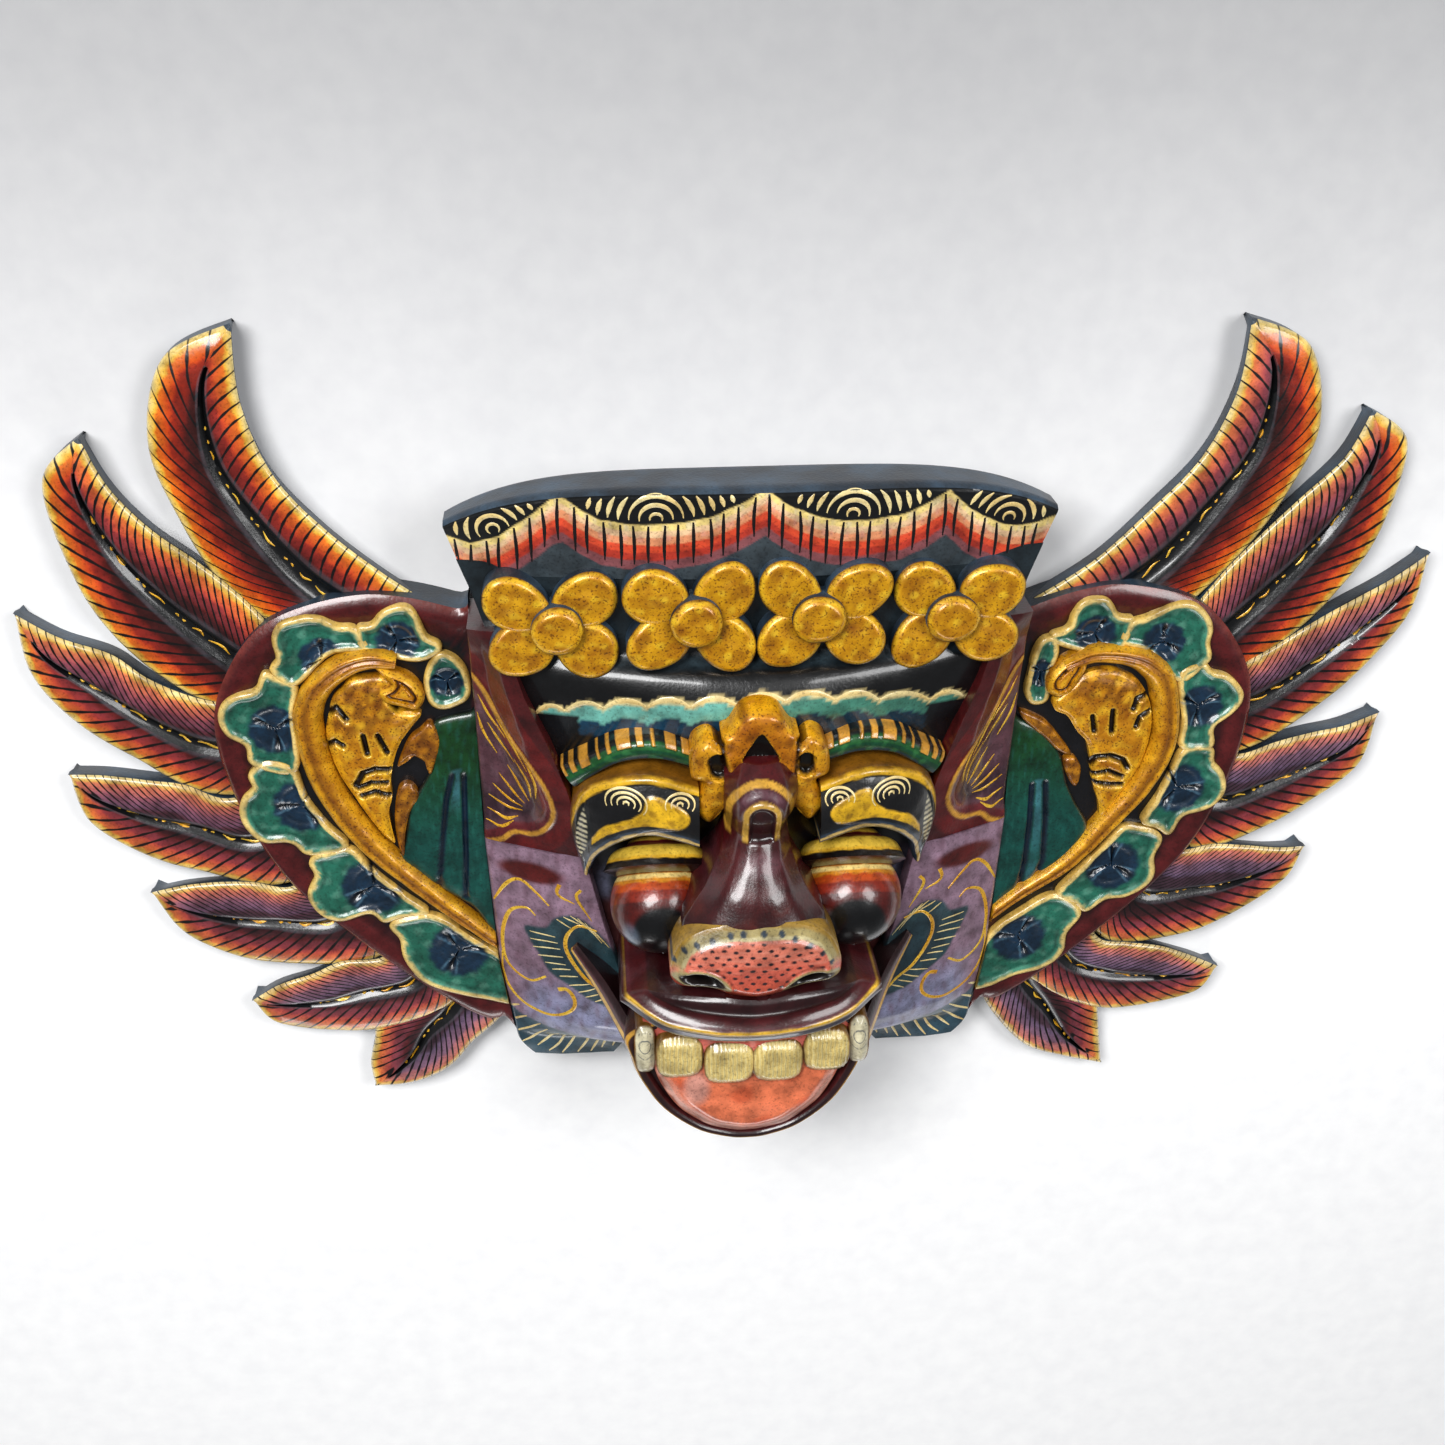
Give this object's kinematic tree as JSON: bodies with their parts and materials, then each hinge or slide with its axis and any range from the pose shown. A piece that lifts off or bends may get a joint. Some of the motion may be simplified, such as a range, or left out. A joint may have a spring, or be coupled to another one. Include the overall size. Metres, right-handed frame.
{
  "type": "winged wall mask",
  "caption": "Carved and painted wooden mask of a mythical guardian: crown, bulging eyes, bared teeth and tongue, a feathered wing on each side, hollow behind.",
  "frame": {"origin": "middle of the outline box, on the surface the back lies on", "axes": "+X to the viewer's right, +Y to the crown, +Z out of the face"},
  "size_m": [0.58, 0.364, 0.108],
  "materials": {
    "mask_wood": "painted and varnished",
    "wing_wood": "painted and varnished"
  },
  "bodies": {
    "root": {"mask": "mask_wood", "wing_left": "wing_wood", "wing_right": "wing_wood"}
  },
  "joints": []
}
